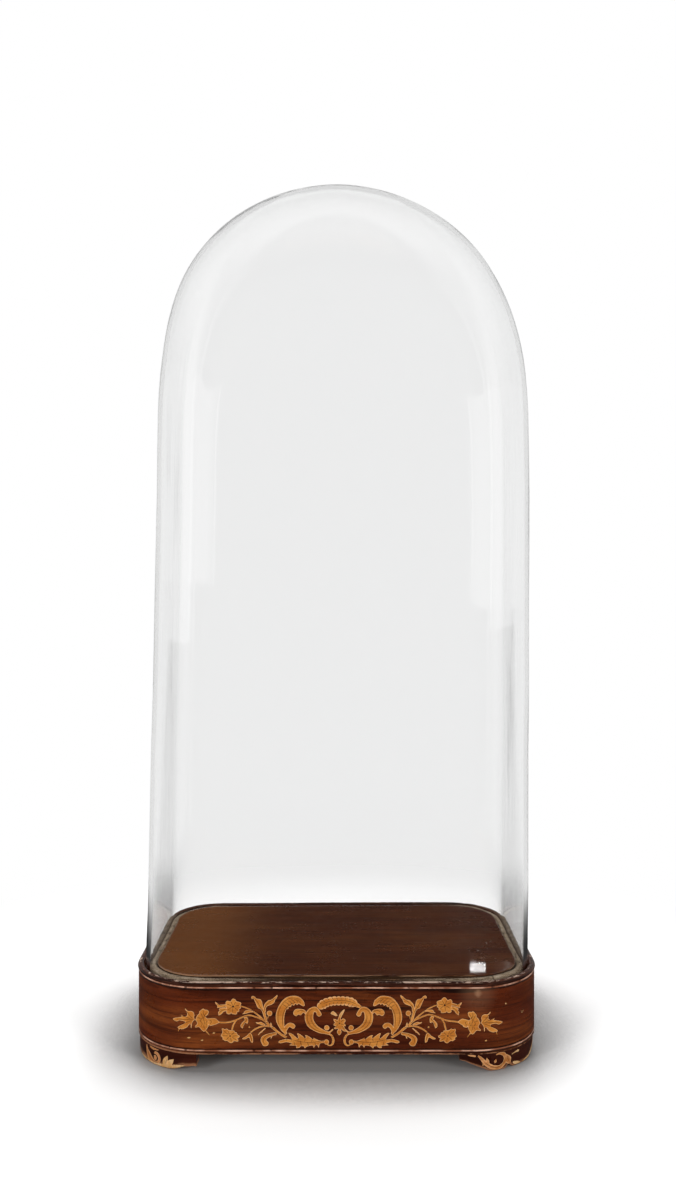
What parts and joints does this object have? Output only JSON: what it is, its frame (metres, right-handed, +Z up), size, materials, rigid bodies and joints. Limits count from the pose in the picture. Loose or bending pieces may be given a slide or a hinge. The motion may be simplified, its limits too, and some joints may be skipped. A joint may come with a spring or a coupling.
{
  "type": "display dome",
  "caption": "Tall glass display dome with a round-cornered rectangular foot, seated in the groove of a veneered, inlaid wooden base on bracket feet.",
  "frame": {"origin": "on the surface that the feet stand on, under the middle of the base", "axes": "+Z up, through the crown of the dome; front faces -Y, the wide side; +X to the right seen from the front"},
  "size_m": [0.3112, 0.2072, 0.6886],
  "materials": {
    "glass": "clear blown soda glass, slightly uneven",
    "rosewood": "polished dark rosewood veneer",
    "boxwood": "pale boxwood line, polished",
    "ebonised_wood": "ebonised and polished, worn on the crest",
    "softwood": "bare pine, aged",
    "chenille": "faded beige chenille cord",
    "steel": "dull iron wood screw"
  },
  "bodies": {
    "base": {"seal_cord": "chenille", "top_board": "softwood", "platform_board": "softwood", "platform_veneer": "rosewood", "front_bead": "ebonised_wood", "right_bead": "ebonised_wood", "back_bead": "ebonised_wood", "left_bead": "ebonised_wood", "front_left_bead": "ebonised_wood", "front_right_bead": "ebonised_wood", "back_right_bead": "ebonised_wood", "back_left_bead": "ebonised_wood", "front_rail": "softwood", "right_rail": "softwood", "back_rail": "softwood", "left_rail": "softwood", "front_left_corner_block": "softwood", "front_right_corner_block": "softwood", "back_right_corner_block": "softwood", "back_left_corner_block": "softwood", "front_veneer": "rosewood", "back_veneer": "rosewood", "upper_stringing": "boxwood", "lower_stringing": "boxwood", "lower_edge_band": "rosewood", "front_left_foot": "rosewood", "front_right_foot": "rosewood", "back_right_foot": "rosewood", "back_left_foot": "rosewood", "front_left_foot_block": "softwood", "front_right_foot_block": "softwood", "back_right_foot_block": "softwood", "back_left_foot_block": "softwood", "left_batten": "softwood", "right_batten": "softwood", "front_left_glue_block": "softwood", "front_right_glue_block": "softwood", "right_glue_block": "softwood", "back_right_glue_block": "softwood", "back_left_glue_block": "softwood", "left_glue_block": "softwood", "batten_screw_1": "steel", "batten_screw_2": "steel", "batten_screw_3": "steel", "batten_screw_4": "steel", "foot_block_screw_1": "steel", "foot_block_screw_2": "steel", "foot_block_screw_3": "steel", "foot_block_screw_4": "steel"},
    "dome": {"glass_dome": "glass"}
  },
  "joints": [
    {"name": "dome_lift", "type": "slide", "parent": "base", "child": "dome", "axis": [0, 0, 1], "range_m": [0, 0.6]}
  ]
}
